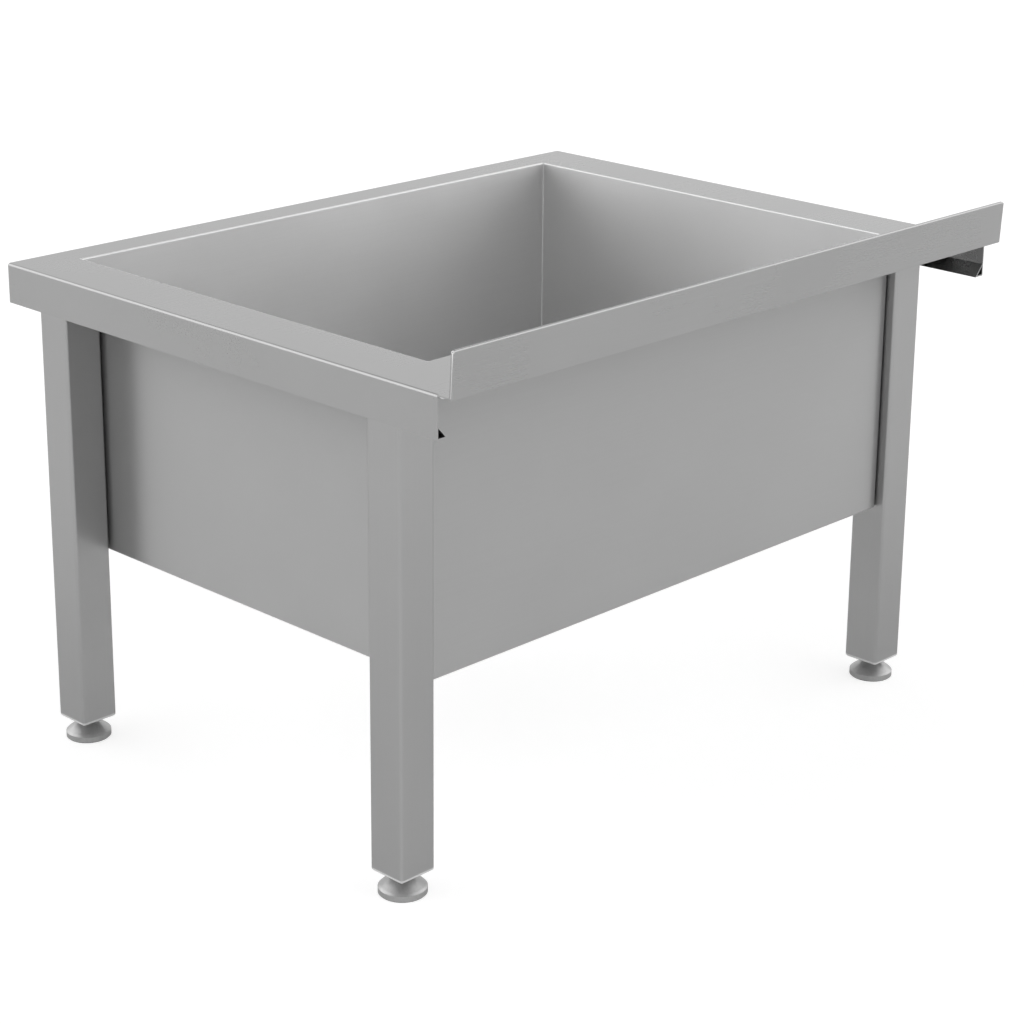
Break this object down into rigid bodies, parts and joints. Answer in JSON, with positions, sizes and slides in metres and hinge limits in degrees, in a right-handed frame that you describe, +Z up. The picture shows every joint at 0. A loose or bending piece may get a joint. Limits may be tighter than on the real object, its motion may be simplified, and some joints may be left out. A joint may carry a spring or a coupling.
{
  "type": "utility laundry sink",
  "caption": "Free-standing stainless laundry sink: deep rectangular basin hung in a flat folded rim with a low rear upstand, square legs on screw feet and a basket waste.",
  "frame": {"origin": "on the floor under the middle of the rim", "axes": "+X to the right seen from the front, -Y the front, +Y the wall side with the upstand, +Z up"},
  "size_m": [0.75, 0.6, 0.52],
  "materials": {
    "rim_sheet": "fine satin grain along the length",
    "tub_sheet": "fine satin grain, ground welds",
    "leg_tube": "satin grain along the tube",
    "socket": "plain, welded",
    "bolts": "plain",
    "plug": "fine moulded texture, light grey",
    "foot_metal": "turned, satin",
    "stud": "plain",
    "foot_rubber": "matt black",
    "waste_steel": "polished flange",
    "waste_plastic": "white moulding",
    "seal_rubber": "matt black",
    "seal_fibre": "pressed fibre",
    "basket_steel": "bright satin"
  },
  "bodies": {
    "sink": {"top_sheet": "rim_sheet", "basin_tub": "tub_sheet", "leg_front_left": "leg_tube", "leg_front_right": "leg_tube", "leg_rear_left": "leg_tube", "leg_rear_right": "leg_tube", "leg_socket_front_left": "socket", "leg_socket_front_right": "socket", "leg_socket_rear_left": "socket", "leg_socket_rear_right": "socket", "leg_plug_front_left": "plug", "leg_plug_front_right": "plug", "leg_plug_rear_left": "plug", "leg_plug_rear_right": "plug", "leg_bolts": "bolts", "leg_bolt_washers": "bolts", "waste_body": "waste_steel", "waste_flange_gasket": "seal_rubber", "waste_rubber_washer": "seal_rubber", "waste_slip_washer": "seal_fibre", "waste_locknut": "waste_plastic"},
    "basket": {"basket_cup": "basket_steel", "basket_post": "basket_steel", "basket_stopper": "seal_rubber", "basket_knob": "basket_steel"},
    "foot_front_left": {"foot_base_front_left": "foot_metal", "foot_pad_front_left": "foot_rubber"},
    "stud_front_left": {"foot_stud_front_left": "stud"},
    "foot_front_right": {"foot_base_front_right": "foot_metal", "foot_pad_front_right": "foot_rubber"},
    "stud_front_right": {"foot_stud_front_right": "stud"},
    "foot_rear_left": {"foot_base_rear_left": "foot_metal", "foot_pad_rear_left": "foot_rubber"},
    "stud_rear_left": {"foot_stud_rear_left": "stud"},
    "foot_rear_right": {"foot_base_rear_right": "foot_metal", "foot_pad_rear_right": "foot_rubber"},
    "stud_rear_right": {"foot_stud_rear_right": "stud"}
  },
  "joints": [
    {"name": "foot_height_front_left", "type": "slide", "parent": "sink", "child": "foot_front_left", "axis": [0, 0, -1], "range_m": [0, 0.025]},
    {"name": "stud_turn_front_left", "type": "hinge", "parent": "foot_front_left", "child": "stud_front_left", "pos_m": [-0.338, -0.255, 0.02], "axis": [0, 0, -1], "range_deg": [0, 6001]},
    {"name": "foot_height_front_right", "type": "slide", "parent": "sink", "child": "foot_front_right", "axis": [0, 0, -1], "range_m": [0, 0.025]},
    {"name": "stud_turn_front_right", "type": "hinge", "parent": "foot_front_right", "child": "stud_front_right", "pos_m": [0.338, -0.255, 0.02], "axis": [0, 0, -1], "range_deg": [0, 6001]},
    {"name": "foot_height_rear_left", "type": "slide", "parent": "sink", "child": "foot_rear_left", "axis": [0, 0, -1], "range_m": [0, 0.025]},
    {"name": "stud_turn_rear_left", "type": "hinge", "parent": "foot_rear_left", "child": "stud_rear_left", "pos_m": [-0.338, 0.19892, 0.02], "axis": [0, 0, -1], "range_deg": [0, 6001]},
    {"name": "foot_height_rear_right", "type": "slide", "parent": "sink", "child": "foot_rear_right", "axis": [0, 0, -1], "range_m": [0, 0.025]},
    {"name": "stud_turn_rear_right", "type": "hinge", "parent": "foot_rear_right", "child": "stud_rear_right", "pos_m": [0.338, 0.19892, 0.02], "axis": [0, 0, -1], "range_deg": [0, 6001]},
    {"name": "basket_lift", "type": "slide", "parent": "sink", "child": "basket", "axis": [0, 0, 1], "range_m": [0, 0.3]}
  ],
  "couplings": [
    {"joint": "stud_turn_front_left", "follows": "foot_height_front_left", "rad_per_m": 4188.8},
    {"joint": "stud_turn_front_right", "follows": "foot_height_front_right", "rad_per_m": 4188.8},
    {"joint": "stud_turn_rear_left", "follows": "foot_height_rear_left", "rad_per_m": 4188.8},
    {"joint": "stud_turn_rear_right", "follows": "foot_height_rear_right", "rad_per_m": 4188.8}
  ]
}
